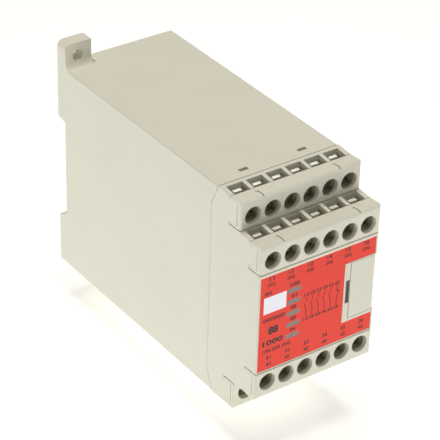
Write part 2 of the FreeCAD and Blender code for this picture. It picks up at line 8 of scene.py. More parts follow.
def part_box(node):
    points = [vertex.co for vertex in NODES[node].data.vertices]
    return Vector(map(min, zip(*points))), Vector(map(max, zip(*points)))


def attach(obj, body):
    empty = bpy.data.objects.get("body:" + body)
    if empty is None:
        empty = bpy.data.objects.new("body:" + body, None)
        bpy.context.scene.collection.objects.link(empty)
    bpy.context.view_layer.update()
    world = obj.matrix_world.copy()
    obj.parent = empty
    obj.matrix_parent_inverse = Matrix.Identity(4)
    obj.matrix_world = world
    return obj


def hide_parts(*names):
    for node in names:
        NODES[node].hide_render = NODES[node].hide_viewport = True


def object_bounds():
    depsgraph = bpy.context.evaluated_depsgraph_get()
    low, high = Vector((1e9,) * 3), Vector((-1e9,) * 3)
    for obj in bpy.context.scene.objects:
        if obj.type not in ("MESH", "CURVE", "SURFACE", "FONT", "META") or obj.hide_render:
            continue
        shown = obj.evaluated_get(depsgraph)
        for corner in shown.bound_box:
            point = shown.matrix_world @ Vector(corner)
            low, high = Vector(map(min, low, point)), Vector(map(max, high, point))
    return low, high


bl_info = {
    "name": "Safety relay dressing",
    "version": (1, 0, 0),
    "blender": (4, 5, 0),
    "location": "3D View > Sidebar > Relay",
    "description": "Finishes, label print, screws and studio for a rail-mounted safety relay",
    "category": "Object",
}

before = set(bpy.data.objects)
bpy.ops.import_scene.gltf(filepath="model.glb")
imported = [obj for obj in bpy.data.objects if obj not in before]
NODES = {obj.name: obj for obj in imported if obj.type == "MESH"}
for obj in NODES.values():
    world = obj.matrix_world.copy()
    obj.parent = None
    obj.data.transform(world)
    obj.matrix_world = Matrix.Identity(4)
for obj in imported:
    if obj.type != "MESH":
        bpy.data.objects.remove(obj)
CAD_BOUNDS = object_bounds()

MM = 0.001
BODY = "relay_body"
TIERS = (1, 2, 3, 4)
POLES = 6

# Label: the ink on the film's front, the windows and the printed figures.
INK_THICK = 0.012 * MM
INK_PROUD = 0.02 * MM
INK_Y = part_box("label_film")[0].y - INK_PROUD
WINDOW_LOW, WINDOW_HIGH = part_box("status_windows")
WINDOW_TALL = 1.6 * MM
# The figures above the windows, from the top, with their widths.
WINDOW_FIGURES = (("100", 3.6 * MM), ("01", 2.1 * MM), ("02", 2.1 * MM), ("03", 2.1 * MM), ("04", 2.1 * MM))
WINDOW_FIGURE_RISE = 2.1 * MM
# Each row of terminal figures: its z, the figures' width and weight, how they are written, the first one.
TERMINAL_ROWS = (
    (15.7 * MM, 1.9 * MM, 0.02, "{}", 11),
    (13.5 * MM, 2.7 * MM, 0.03, "({})", 21),
    (-13.1 * MM, 1.9 * MM, 0.02, "{}", 31),
    (-15.5 * MM, 1.9 * MM, 0.02, "{}", 41),
)
# Each plain figure around the writing field: its x, z, height, width and weight.
CORNER_FIGURES = (
    ("000", -19.1 * MM, 10.7 * MM, 1.2 * MM, 2.6 * MM, 0.03),
    ("000000", -16.5 * MM, 1.0 * MM, 1.5 * MM, 8.2 * MM, 0.02),
    ("88", -16.6 * MM, -3.2 * MM, 2.9 * MM, 3.8 * MM, 0.05),
    ("1000", -16.6 * MM, -7.5 * MM, 2.1 * MM, 7.6 * MM, 0.035),
    ("100-200 000", -15.0 * MM, -10.5 * MM, 1.3 * MM, 10.4 * MM, 0.02),
)
FIELD_LEFT, FIELD_RIGHT = -20.55 * MM, -12.15 * MM
FIELD_Z, FIELD_TALL = 6.35 * MM, 5.9 * MM

# Contact diagram: each contact has an upper and a lower wire and a slanted blade between them.
CONTACTS = 6
CONTACT_LEFT, CONTACT_PITCH = -4.4 * MM, 2.33 * MM
UPPER_WIRE_TOP, UPPER_WIRE_END = 4.0 * MM, 2.2 * MM
LOWER_WIRE_TOP, LOWER_WIRE_END = -0.5 * MM, -3.1 * MM
BLADE_FOOT, BLADE_TIP, BLADE_LEAN = -0.55 * MM, 2.0 * MM, 0.75 * MM
SEAT_Z, SEAT_END_Z, SEAT_REACH = 1.9 * MM, 1.6 * MM, 1.15 * MM      # the opening contact's short seat
CONTACT_FIGURES = ((3, 4.95 * MM), (4, -3.95 * MM))                 # second figure at each end, and its z
CONTACT_FIGURE_TALL, CONTACT_FIGURE_WIDE = 1.25 * MM, 1.8 * MM

# Joint line between case and front housing, on the sides.
SEAM_FLAP = 3.0 * MM      # how far it runs back from the joint on top
SEAM_WIDE = 0.2 * MM
LIP_DEEP = 1.0 * MM
LIP_SINK = 0.02 * MM      # how far the lip stays behind the sides
LIP_TALL = 61.6 * MM

# Black bar in the door's pry slot: painted shade, standing in for the shade deep in the slot.
SLOT_SHADE_LEFT, SLOT_SHADE_RIGHT = 10.75 * MM, 12.15 * MM
SLOT_SHADE_HALF = 4.15 * MM
SLOT_SHADE_SINK, SLOT_SHADE_BACK = 0.35 * MM, 4.0 * MM

# Terminal screws, front to back. Each is turned further than the last, so that neighbours stand differently.
HEAD_TALL = 1.9 * MM
HEAD_STEPS = 32
WASHER_THICK = 0.8 * MM
SHANK_RADIUS = 1.45 * MM
SHANK_END = 4.4 * MM
THREAD_PITCH = 0.5 * MM
THREAD_CREST = 0.12 * MM
SLOT_DEPTH = 1.0 * MM
TURN_PER_POLE, TURN_PER_TIER = 37, 23      # degrees

# Stage: the lamps' places and sizes in metres, the floor and the point that the camera looks at.
SIDE_LIGHT_AT, SIDE_LIGHT_SIZE = (-0.75, 0.20, -0.005), (0.5, 0.08)
TOP_LIGHT_AT, TOP_LIGHT_SIZE = (0.0, -0.08, 0.90), (0.5, 0.5)
FLOOR_HALF = 3.0
FLOOR_DROP = 0.2 * MM
FLOOR_GLOW = 1.02         # what the floor gives as light, like a light table
FLOOR_GLOW_SEEN = 0.42    # what it adds to its own colour where the camera sees it
AIM_DEPTH, AIM_RIGHT, AIM_DOWN = 52.5 * MM, 5.11 * MM, 1.74 * MM
WHITE = (1.0, 1.0, 1.0, 1.0)

SOFT_EDGE = 0.3 * MM      # how far a moulded edge is rounded to the eye
WAVE_RATE = 20            # radians that a wave texture runs through in one unit of its own


# ---- Colours and nodes ---------------------------------------------------

def linear(hex_colour):
    """An sRGB hex colour as the linear colour that shaders take."""
    parts = [int(hex_colour[i:i + 2], 16) / 255 for i in (1, 3, 5)]
    return tuple(p / 12.92 if p <= 0.04045 else ((p + 0.055) / 1.055) ** 2.4 for p in parts) + (1.0,)


def add(tree, kind, inputs=None, **settings):
    """Add a node with its settings, and give each named input a value or a link."""
    node = tree.nodes.new(kind)
    for name, value in settings.items():
        setattr(node, name, value)
    for name, value in (inputs or {}).items():
        if isinstance(value, bpy.types.NodeSocket):
            tree.links.new(value, node.inputs[name])
        else:
            node.inputs[name].default_value = value
    return node


def per_mm(size):
    """The texture scale at which one feature is this many millimetres across."""
    return 1.0 / (size * MM)


def blank_material(name):
    """A new material and its node tree, still without nodes."""
    material = bpy.data.materials.new(name)
    material.use_nodes = True
    material.node_tree.nodes.clear()
    return material, material.node_tree


def finish_material(tree, shader):
    """Join a shader to the material's output."""
    add(tree, "ShaderNodeOutputMaterial", {"Surface": shader.outputs[0]})


def two_tone(tree, where, size, light, dark):
    """A slow drift between two close colours over patches of one size."""
    cloud = add(tree, "ShaderNodeTexNoise", {"Vector": where, "Scale": per_mm(size), "Detail": 3.0})
    return add(tree, "ShaderNodeMix", {
        "Factor": cloud.outputs["Fac"], "A": linear(light), "B": linear(dark)}, data_type="RGBA")


# ---- Materials -----------------------------------------------------------

def moulded(name, light, dark, grain, depth, rough):
    """A moulded plastic: spark-eroded grain, a slow colour drift and soft edges.

    Real grain is finer than the 0.4 to 0.7 mm given for it, which is as coarse as it needs to be to show.
    """
    material, tree = blank_material(name)
    where = add(tree, "ShaderNodeTexCoord").outputs["Object"]
    colour = two_tone(tree, where, 18.0, light, dark)
    erosion = add(tree, "ShaderNodeTexNoise", {"Vector": where, "Scale": per_mm(grain), "Detail": 4.0})
    soft_edge = add(tree, "ShaderNodeBevel", {"Radius": SOFT_EDGE}, samples=6)
    relief = add(tree, "ShaderNodeBump", {
        "Height": erosion.outputs["Fac"], "Strength": 0.35, "Distance": depth * MM,
        "Normal": soft_edge.outputs["Normal"]})
    gloss = add(tree, "ShaderNodeMapRange", {
        "Value": erosion.outputs["Fac"], "To Min": rough - 0.05, "To Max": rough + 0.07})
    shader = add(tree, "ShaderNodeBsdfPrincipled", {
        "Base Color": colour.outputs["Result"], "Normal": relief.outputs["Normal"],
        "Roughness": gloss.outputs["Result"], "IOR": 1.53, "Specular IOR Level": 0.45})
    finish_material(tree, shader)
    return material


def moulded_abs(finish):
    """Pale ABS from a lightly eroded tool: matt, with a weak broad sheen."""
    return moulded("moulded_ABS", finish.housing, "#D6D3C2", 0.5, 0.03, 0.52)


def polyamide_with_painted_shade(finish):
    """Glass-filled polyamide of the terminal combs: duller than the shell, and darker than it as painted
    shade of the deep wire entries.
    """
    return moulded("polyamide_with_painted_shade", finish.comb, "#A29D86", 0.4, 0.04, 0.62)


def moulded_acetal():
    """Acetal of the latch: slightly waxy and smoother."""
    return moulded("moulded_acetal", "#CFCBB8", "#C5C1AE", 0.7, 0.02, 0.38)


def moulded_relay_cover():
    """Pale PBT of the sealed relay covers: smooth, with a soft low gloss."""
    return moulded("moulded_PBT", "#E6E5DF", "#DAD9D1", 0.6, 0.02, 0.35)


def moulded_connector():
    """Black PBT of the pin strip and the socket, also used for the black bar of painted shade in the door's
    pry slot: dark, with a dull sheen.
    """
    return moulded("moulded_black_PBT", "#2A2A2C", "#222224", 0.4, 0.02, 0.42)


def plated_metal(name, colour, dull, rough, scratch, metallic=1.0):
    """A plated or rolled metal: fine drawing lines and a slightly uneven gloss.

    Real lines are finer than the sizes given here, which are as coarse as they need to be to show.
    """
    material, tree = blank_material(name)
    where = add(tree, "ShaderNodeTexCoord").outputs["Object"]
    stretch = add(tree, "ShaderNodeMapping", {"Vector": where, "Scale": (1.0, 0.12, 1.0)})
    lines = add(tree, "ShaderNodeTexNoise", {
        "Vector": stretch.outputs["Vector"], "Scale": per_mm(scratch), "Detail": 5.0})
    tone = add(tree, "ShaderNodeMix", {
        "Factor": lines.outputs["Fac"], "A": linear(colour), "B": linear(dull)}, data_type="RGBA")
    relief = add(tree, "ShaderNodeBump", {
        "Height": lines.outputs["Fac"], "Strength": 0.25, "Distance": 0.01 * MM})
    gloss = add(tree, "ShaderNodeMapRange", {
        "Value": lines.outputs["Fac"], "To Min": rough, "To Max": rough + 0.15})
    shader = add(tree, "ShaderNodeBsdfPrincipled", {
        "Base Color": tone.outputs["Result"], "Metallic": metallic, "Normal": relief.outputs["Normal"],
        "Roughness": gloss.outputs["Result"]})
    finish_material(tree, shader)
    return material


def nickel_plated_steel(finish):
    """Cold-headed screws with bright nickel: light edges around darker slots."""
    return plated_metal("nickel_plated_steel", finish.screw, "#A9A69C", 0.22, 0.25)


def tin_plated_brass():
    """Stamped terminal plates with soft tin: nearly white and without a sharp reflection."""
    return plated_metal("tin_plated_brass", "#FFFDF6", "#F6F3EA", 0.40, 0.3, 0.45)


def spring_strip():
    """Rolled spring steel of the latch spring: mid grey, with fine lines."""
    return plated_metal("rolled_spring_steel", "#9C9C9C", "#7E7E80", 0.28, 0.2)


def laminated_core():
    """Stacked silicon steel sheets under varnish: dark, with bands from front to back.

    The sheets are 0.5 mm thick, and the bands are drawn 3.1 mm apart so that they show.
    """
    material, tree = blank_material("stamped_silicon_steel")
    where = add(tree, "ShaderNodeTexCoord").outputs["Object"]
    sheets = add(tree, "ShaderNodeTexWave", {
        "Vector": where, "Scale": per_mm(0.5) / WAVE_RATE, "Distortion": 0.2}, bands_direction="Y")
    tone = add(tree, "ShaderNodeMix", {
        "Factor": sheets.outputs["Fac"], "A": linear("#4A4A4C"), "B": linear("#2C2C2E")}, data_type="RGBA")
    relief = add(tree, "ShaderNodeBump", {
        "Height": sheets.outputs["Fac"], "Strength": 0.5, "Distance": 0.05 * MM})
    shader = add(tree, "ShaderNodeBsdfPrincipled", {
        "Base Color": tone.outputs["Result"], "Metallic": 0.6, "Roughness": 0.45,
        "Normal": relief.outputs["Normal"]})
    finish_material(tree, shader)
    return material


def wound_tape():
    """Polyester tape over the winding: its laps show as faint bands, one tape's width of 19 mm apart."""
    material, tree = blank_material("wound_polyester_tape")
    where = add(tree, "ShaderNodeTexCoord").outputs["Object"]
    laps = add(tree, "ShaderNodeTexWave", {
        "Vector": where, "Scale": per_mm(3.0) / WAVE_RATE, "Distortion": 0.6}, bands_direction="Z")
    tone = add(tree, "ShaderNodeMix", {
        "Factor": laps.outputs["Fac"], "A": linear("#D9A63C"), "B": linear("#C08F2E")}, data_type="RGBA")
    relief = add(tree, "ShaderNodeBump", {
        "Height": laps.outputs["Fac"], "Strength": 0.3, "Distance": 0.08 * MM})
    shader = add(tree, "ShaderNodeBsdfPrincipled", {
        "Base Color": tone.outputs["Result"], "Roughness": 0.28, "Normal": relief.outputs["Normal"]})
    finish_material(tree, shader)
    return material


def sleeved_can():
    """Shrunk PVC sleeve of the capacitors: dark, glossy, faintly wavy."""
    return moulded("shrunk_PVC_sleeve", "#1E2A44", "#18223A", 2.5, 0.05, 0.25)


def solder_mask():
    """Epoxy glass laminate under green lacquer: the weave shows through at 0.5 mm."""
    material, tree = blank_material("laminated_epoxy_glass")
    where = add(tree, "ShaderNodeTexCoord").outputs["Object"]
    weave = add(tree, "ShaderNodeTexChecker", {
        "Vector": where, "Scale": per_mm(0.5), "Color1": linear("#1F6B3A"), "Color2": linear("#1B6034")})
    shader = add(tree, "ShaderNodeBsdfPrincipled", {
        "Base Color": weave.outputs["Color"], "Roughness": 0.3, "IOR": 1.55})
    finish_material(tree, shader)
    return material


def printed_film(finish):
    """Screen-printed polyester film: even red with a low satin gloss and a faint mesh.

    A real screen's mesh is finer than the 0.35 mm that it is drawn at so that it shows.
    """
    material, tree = blank_material("screen_printed_polyester")
    where = add(tree, "ShaderNodeTexCoord").outputs["Object"]
    colour = two_tone(tree, where, 9.0, finish.label, "#E8402F")
    mesh = add(tree, "ShaderNodeTexNoise", {"Vector": where, "Scale": per_mm(0.35), "Detail": 2.0})
    relief = add(tree, "ShaderNodeBump", {
        "Height": mesh.outputs["Fac"], "Strength": 0.12, "Distance": 0.01 * MM})
    gloss = add(tree, "ShaderNodeMapRange", {"Value": mesh.outputs["Fac"], "To Min": 0.36, "To Max": 0.46})
    shader = add(tree, "ShaderNodeBsdfPrincipled", {
        "Base Color": colour.outputs["Result"], "Normal": relief.outputs["Normal"],
        "Roughness": gloss.outputs["Result"], "IOR": 1.5, "Specular IOR Level": 0.2})
    finish_material(tree, shader)
    return material


def printed_ink(name, light, dark):
    """Screen-printed ink: flat and slightly open, so its tone drifts from mesh to mesh.

    The drift is drawn 0.3 mm across, coarser than a real screen's, so that it shows.
    """
    material, tree = blank_material(name)
    where = add(tree, "ShaderNodeTexCoord").outputs["Object"]
    colour = two_tone(tree, where, 0.3, light, dark)
    shader = add(tree, "ShaderNodeBsdfPrincipled", {
        "Base Color": colour.outputs["Result"], "Roughness": 0.5, "Specular IOR Level": 0.3})
    finish_material(tree, shader)
    return material


def smoked_acrylic(finish):
    """Smoked window bars: grey-brown, translucent enough to glow faintly from behind."""
    material, tree = blank_material("moulded_smoked_acrylic")
    where = add(tree, "ShaderNodeTexCoord").outputs["Object"]
    colour = two_tone(tree, where, 2.0, finish.window, "#7C766D")
    shader = add(tree, "ShaderNodeBsdfPrincipled", {
        "Base Color": colour.outputs["Result"], "Roughness": 0.3, "IOR": 1.49, "Transmission Weight": 0.15})
    finish_material(tree, shader)
    return material


def epoxy_lens():
    """Cast epoxy of the status lamps: milky, with a wet gloss."""
    material, tree = blank_material("cast_epoxy_lens")
    where = add(tree, "ShaderNodeTexCoord").outputs["Object"]
    colour = two_tone(tree, where, 1.0, "#E9E6D8", "#DDD9C8")
    shader = add(tree, "ShaderNodeBsdfPrincipled", {
        "Base Color": colour.outputs["Result"], "Roughness": 0.15, "IOR": 1.54, "Transmission Weight": 0.3})
    finish_material(tree, shader)
    return material


# ---- Mesh helpers --------------------------------------------------------

def piece_from(bm, name, material, body):
    """Turn a bmesh into a flat-shaded piece that rides on a body."""
    mesh = bpy.data.meshes.new(name)
    bm.to_mesh(mesh)
    bm.free()
    for face in mesh.polygons:
        face.use_smooth = False
    mesh.materials.append(material)
    piece = bpy.data.objects.new(name, mesh)
    bpy.context.scene.collection.objects.link(piece)
    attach(piece, body)
    return piece


def dress(material, *names):
    """Give CAD nodes a finish."""
    for name in names:
        mesh = NODES[name].data
        mesh.materials.clear()
        mesh.materials.append(material)


def ink_bar(bm, start, end, width):
    """A printed line on the label from one (x, z) place to another."""
    a = Vector((start[0], 0, start[1]))
    b = Vector((end[0], 0, end[1]))
    along = (b - a).normalized()
    across = Vector((-along.z, 0, along.x)) * width / 2
    rise = Vector((0, -INK_THICK, 0))
    base = Vector((0, INK_Y + INK_THICK, 0))
    ring = [a - across, b - across, b + across, a + across]
    low = [bm.verts.new(base + p) for p in ring]
    high = [bm.verts.new(base + p + rise) for p in ring]
    bm.faces.new(low)
    bm.faces.new(reversed(high))
    for i in range(4):
        j = (i + 1) % 4
        bm.faces.new((low[j], low[i], high[i], high[j]))


def ink_text(bm, words, x, z, height, width, weight=0.0):
    """Printed figures on the label, of one height, width and weight, centred on a place."""
    curve = bpy.data.curves.new("figures", "FONT")
    curve.body = words
    curve.size = 1.0
    curve.offset = weight
    curve.extrude = 1.0
    curve.resolution_u = 2
    holder = bpy.data.objects.new("figures", curve)
    mesh = bpy.data.meshes.new_from_object(holder)
    spots = [vertex.co for vertex in mesh.vertices]
    low = Vector([min(spot[i] for spot in spots) for i in range(2)])
    high = Vector([max(spot[i] for spot in spots) for i in range(2)])
    size = high - low
    centre = Matrix.Translation((-(low.x + high.x) / 2, -(low.y + high.y) / 2, 0.0))
    fit = Matrix.Diagonal((width / size.x, height / size.y, INK_THICK / 2, 1.0))
    stand = Matrix.Rotation(math.radians(90), 4, "X")
    mesh.transform(Matrix.Translation((x, INK_Y, z)) @ stand @ fit @ centre)
    bm.from_mesh(mesh)
    bpy.data.objects.remove(holder)
    bpy.data.curves.remove(curve)
    bpy.data.meshes.remove(mesh)


def pole_places():
    """The x of each pole, from the screws of the first tier."""
    low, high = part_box("terminal_screws_1")
    washer = bpy.context.scene.relay_sizes.washer
    pitch = (high.x - low.x - washer) / (POLES - 1)
    return [low.x + washer / 2 + i * pitch for i in range(POLES)]


# ---- Settings ------------------------------------------------------------

class RelayFinish(bpy.types.PropertyGroup):
    """Colours of the dressed relay."""
    housing: bpy.props.StringProperty(
        name="Housing", description="Pale ABS of the case and covers", default="#DCDACA")
    # The combs' colour is darker than the shell's as painted shade of the deep wire entries.
    comb: bpy.props.StringProperty(
        name="Terminal combs", description="Polyamide inside the wire entries", default="#ADA890")
    label: bpy.props.StringProperty(
        name="Label", description="Red of the printed film", default="#EE3D2B")
    window: bpy.props.StringProperty(
        name="Windows", description="Smoked acrylic of the status windows", default="#8A847A")
    screw: bpy.props.StringProperty(
        name="Screws", description="Nickel of the terminal screws", default="#D9D6CC")


class RelaySizes(bpy.types.PropertyGroup):
    """Sizes of the pieces that are added to the frame."""
    screw_head: bpy.props.FloatProperty(
        name="Screw head", description="Diameter of a terminal screw's head", default=5.5 * MM,
        subtype="DISTANCE", unit="LENGTH", precision=5)
    slot_width: bpy.props.FloatProperty(
        name="Screw slot", description="Width of the slot and of the cross", default=0.9 * MM,
        subtype="DISTANCE", unit="LENGTH", precision=5)
    washer: bpy.props.FloatProperty(
        name="Clamp washer", description="Side of the square washer under a screw's head", default=5.6 * MM,
        subtype="DISTANCE", unit="LENGTH", precision=5)
    figure_height: bpy.props.FloatProperty(
        name="Figure height", description="Height of the printed terminal figures", default=1.4 * MM,
        subtype="DISTANCE", unit="LENGTH", precision=5)
    line_width: bpy.props.FloatProperty(
        name="Line width", description="Width of the printed diagram lines", default=0.22 * MM,
        subtype="DISTANCE", unit="LENGTH", precision=5)


class RelayStudio(bpy.types.PropertyGroup):
    """Camera and light of the stage."""
    azimuth: bpy.props.FloatProperty(
        name="Azimuth", description="Camera direction about the vertical", default=math.radians(-36.30),
        subtype="ANGLE", unit="ROTATION")
    elevation: bpy.props.FloatProperty(
        name="Elevation", description="Camera height angle", default=math.radians(32.40),
        subtype="ANGLE", unit="ROTATION")
    roll: bpy.props.FloatProperty(
        name="Roll", description="Camera tilt about its own axis", default=math.radians(1.82),
        subtype="ANGLE", unit="ROTATION")
    distance: bpy.props.FloatProperty(
        name="Distance", description="Camera distance from the middle of the depth", default=0.6575,
        subtype="DISTANCE", unit="LENGTH", precision=4)
    lens: bpy.props.FloatProperty(
        name="Focal length", description="Lens in millimetres on a 36 mm sensor", default=166.64,
        unit="CAMERA")
    side: bpy.props.FloatProperty(
        name="Side light", description="Power of the low light at the left", default=0.2,
        unit="POWER")
    side_tint: bpy.props.StringProperty(
        name="Side tint", description="Colour of the low light at the left", default="#FAFCFF")
    top: bpy.props.FloatProperty(
        name="Top light", description="Power of the soft light overhead", default=5.5,
        unit="POWER")
    top_tint: bpy.props.StringProperty(
        name="Top tint", description="Colour of the soft light overhead", default="#FFFCF4")
    ambient: bpy.props.FloatProperty(
        name="Ambient", description="Strength of the even white surroundings", default=0.18)


# ---- Operators -----------------------------------------------------------

class RELAY_OT_stage(bpy.types.Operator):
    """Lay the floor, and set the camera and the soft studio light"""
    bl_idname = "relay.stage"
    bl_label = "Stage"

    def execute(self, context):
        studio = context.scene.relay_studio
        self.floor(CAD_BOUNDS[0].z)
        self.surroundings(context, studio)
        self.lamp(context, "side_light", SIDE_LIGHT_AT, SIDE_LIGHT_SIZE, studio.side, studio.side_tint)
        self.lamp(context, "top_light", TOP_LIGHT_AT, TOP_LIGHT_SIZE, studio.top, studio.top_tint)
        self.camera(context, studio)
        context.scene.view_settings.view_transform = "Standard"
        return {"FINISHED"}

    def floor(self, height):
        """A wide pale floor that shows white, keeps the object's shadow and lights it from below."""
        bm = bmesh.new()
        bmesh.ops.create_grid(bm, x_segments=1, y_segments=1, size=FLOOR_HALF)
        mesh = bpy.data.meshes.new("floor")
        bm.to_mesh(mesh)
        bm.free()
        floor = bpy.data.objects.new("floor", mesh)
        floor.location.z = height - FLOOR_DROP
        bpy.context.scene.collection.objects.link(floor)
        material, tree = blank_material("painted_floor")
        paint = add(tree, "ShaderNodeBsdfDiffuse", {"Color": linear("#F2F2F2")})
        seen = add(tree, "ShaderNodeLightPath").outputs["Is Camera Ray"]
        level = add(tree, "ShaderNodeMapRange", {
            "Value": seen, "To Min": FLOOR_GLOW, "To Max": FLOOR_GLOW_SEEN})
        lift = add(tree, "ShaderNodeEmission", {"Color": WHITE, "Strength": level.outputs["Result"]})
        both = add(tree, "ShaderNodeAddShader")
        tree.links.new(paint.outputs[0], both.inputs[0])
        tree.links.new(lift.outputs[0], both.inputs[1])
        finish_material(tree, both)
        mesh.materials.append(material)

    def surroundings(self, context, studio):
        """White to the eye and in reflections, and an even light for the rest."""
        world = bpy.data.worlds.new("studio")
        context.scene.world = world
        world.use_nodes = True
        tree = world.node_tree
        tree.nodes.clear()
        path = add(tree, "ShaderNodeLightPath").outputs
        direct = add(tree, "ShaderNodeMath", {
            0: path["Is Camera Ray"], 1: path["Is Glossy Ray"]}, operation="MAXIMUM")
        through = add(tree, "ShaderNodeMath", {
            0: direct.outputs[0], 1: path["Is Transmission Ray"]}, operation="MAXIMUM")
        strength = add(tree, "ShaderNodeMapRange", {
            "Value": through.outputs[0], "To Min": studio.ambient, "To Max": 1.0})
        light = add(tree, "ShaderNodeBackground", {"Color": WHITE, "Strength": strength.outputs["Result"]})
        add(tree, "ShaderNodeOutputWorld", {"Surface": light.outputs[0]})

    def lamp(self, context, name, place, size, power, tint):
        """A rectangular soft light aimed at the middle of the relay."""
        light = bpy.data.lights.new(name, "AREA")
        light.shape = "RECTANGLE"
        light.size, light.size_y = size
        light.energy = power
        light.color = linear(tint)[:3]
        lamp = bpy.data.objects.new(name, light)
        lamp.location = place
        aim = (CAD_BOUNDS[0] + CAD_BOUNDS[1]) / 2 - lamp.location
        lamp.rotation_euler = aim.to_track_quat("-Z", "Y").to_euler()
        context.scene.collection.objects.link(lamp)

    def camera(self, context, studio):
        """The camera, placed by its angles about the middle of the depth."""
        azimuth, elevation, roll = studio.azimuth, studio.elevation, studio.roll
        back = Vector((math.sin(azimuth) * math.cos(elevation), -math.cos(azimuth) * math.cos(elevation),
                       math.sin(elevation)))
        level = Vector((math.cos(azimuth), math.sin(azimuth), 0.0))
        above = back.cross(level)
        right = math.cos(roll) * level + math.sin(roll) * above
        up = back.cross(right)
        aim = Vector((0.0, -AIM_DEPTH, 0.0)) + right * AIM_RIGHT - up * AIM_DOWN
        data = bpy.data.cameras.new("camera")
        data.lens = studio.lens
        data.sensor_width = 36.0
        data.clip_start = 0.01
        camera = bpy.data.objects.new("camera", data)
        turn = Matrix((right, up, back)).transposed().to_4x4()
        camera.matrix_world = Matrix.Translation(aim + back * studio.distance) @ turn
        context.scene.collection.objects.link(camera)
        context.scene.camera = camera


class RELAY_OT_mouldings(bpy.types.Operator):
    """Finish the shell, the covers, the combs, the latch and its spring, and set the lip in the joint line"""
    bl_idname = "relay.mouldings"
    bl_label = "Mouldings"

    def execute(self, context):
        finish = context.scene.relay_finish
        dress(moulded_abs(finish), "case", "front_housing", "service_tub", "service_door",
              *[f"terminal_cover_{n}" for n in TIERS])
        # The combs' finish is darker than the shell's as painted shade in the wire entries.
        dress(polyamide_with_painted_shade(finish), *[f"terminal_block_{n}" for n in TIERS])
        dress(moulded_acetal(), "rail_latch")
        dress(spring_strip(), "latch_spring")
        self.close_seam(moulded_abs(finish))
        return {"FINISHED"}

    def close_seam(self, plastic):
        """The front housing's inner lip, which shows in the joint line along both sides."""
        low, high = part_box("case")
        rear = low.y + SEAM_FLAP
        bm = bmesh.new()
        for x in (low.x + LIP_SINK + LIP_DEEP / 2, high.x - LIP_SINK - LIP_DEEP / 2):
            size = Matrix.Diagonal((LIP_DEEP, SEAM_WIDE, LIP_TALL, 1.0))
            place = Matrix.Translation((x, rear - SEAM_WIDE / 2, 0.0))
            bmesh.ops.create_cube(bm, size=1.0, matrix=place @ size)
        piece_from(bm, "seam_lips", plastic, BODY)


